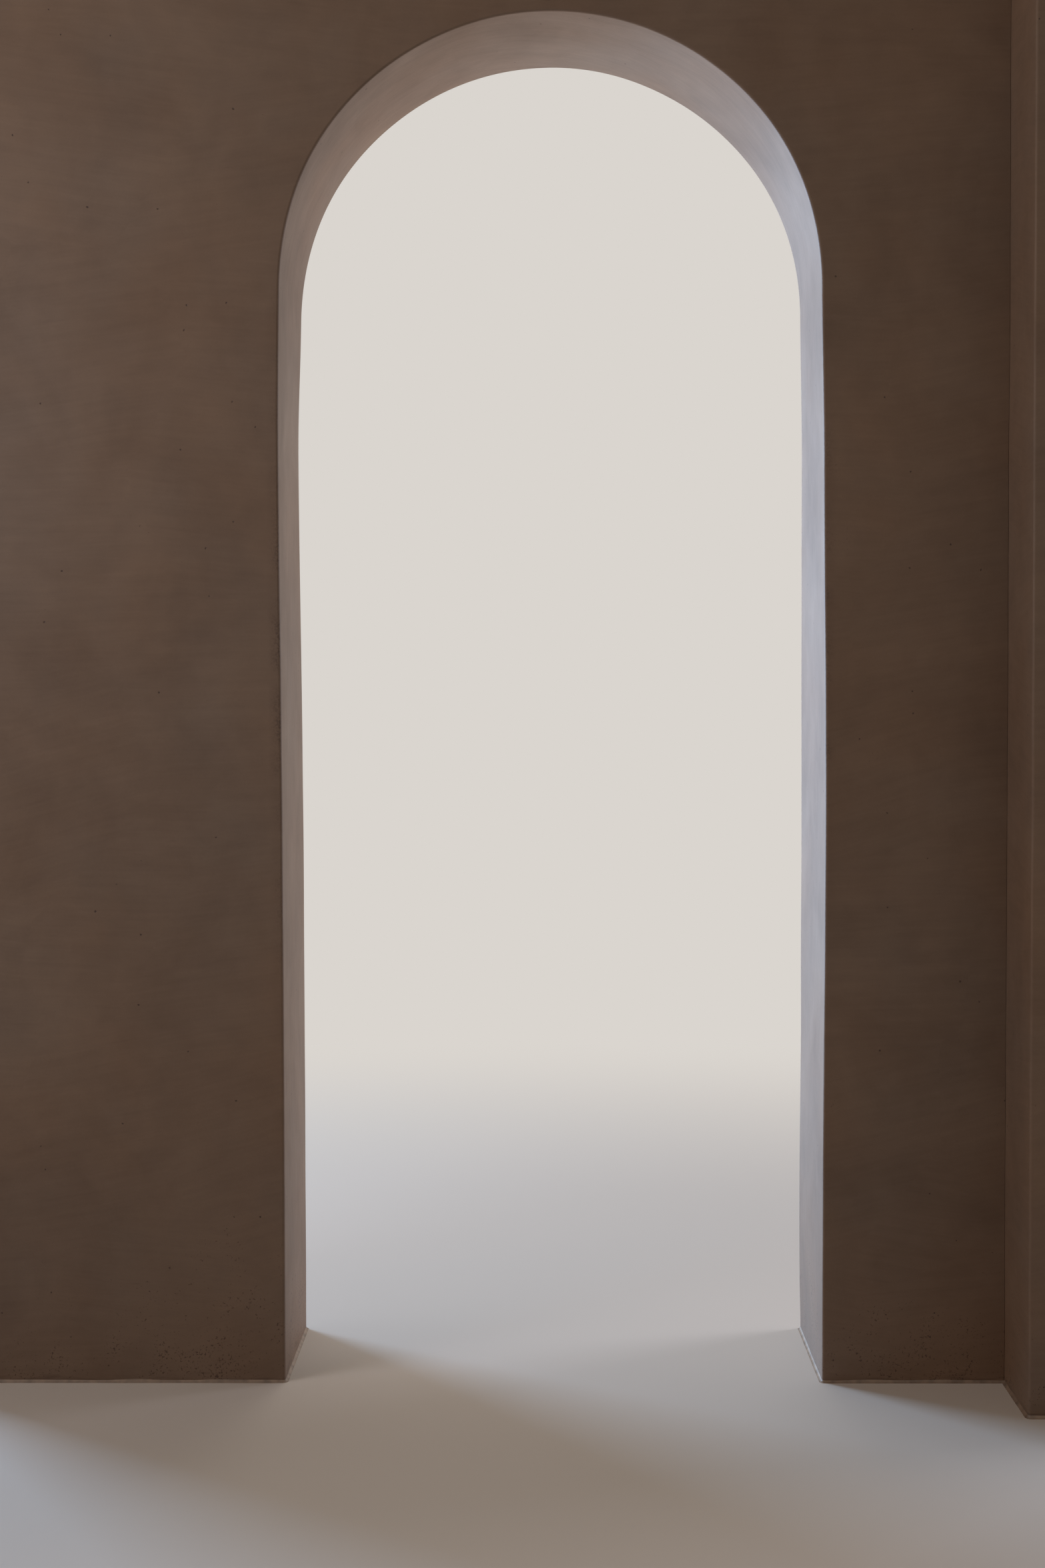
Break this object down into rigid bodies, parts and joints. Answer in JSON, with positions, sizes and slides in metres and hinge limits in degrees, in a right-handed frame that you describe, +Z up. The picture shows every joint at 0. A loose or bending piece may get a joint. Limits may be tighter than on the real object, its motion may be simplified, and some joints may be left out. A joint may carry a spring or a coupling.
{
  "type": "plastered wall with a round-headed walk-through arch",
  "caption": "Thick plastered masonry wall with a tall round-headed walk-through opening, softly rounded arrises and a short return at the right.",
  "frame": {"origin": "on the floor, at the middle of the opening's width and of the whole wall's depth, return included", "axes": "+Z up, -Y out of the front face, on the side where the return stands out, +X to the right seen from the front"},
  "size_m": [2.36, 0.56, 3],
  "materials": {
    "masonry": "rough",
    "wall_plaster": "matte",
    "lining_plaster": "matte",
    "foot_bead": "satin"
  },
  "bodies": {
    "root": {"left_pier": "masonry", "right_pier": "masonry", "left_spandrel": "masonry", "right_spandrel": "masonry", "corner_return": "masonry", "front_plaster_left": "wall_plaster", "front_plaster_right": "wall_plaster", "front_plaster_left_spandrel": "wall_plaster", "front_plaster_right_spandrel": "wall_plaster", "back_plaster_left": "wall_plaster", "back_plaster_right": "wall_plaster", "back_plaster_left_spandrel": "wall_plaster", "back_plaster_right_spandrel": "wall_plaster", "left_end_plaster": "wall_plaster", "right_end_plaster": "wall_plaster", "return_end_plaster": "wall_plaster", "return_face_plaster": "wall_plaster", "top_plaster": "wall_plaster", "left_reveal": "lining_plaster", "right_reveal": "lining_plaster", "arch_soffit_left": "lining_plaster", "arch_soffit_right": "lining_plaster", "left_foot_bead": "foot_bead", "right_foot_bead": "foot_bead"}
  },
  "joints": []
}
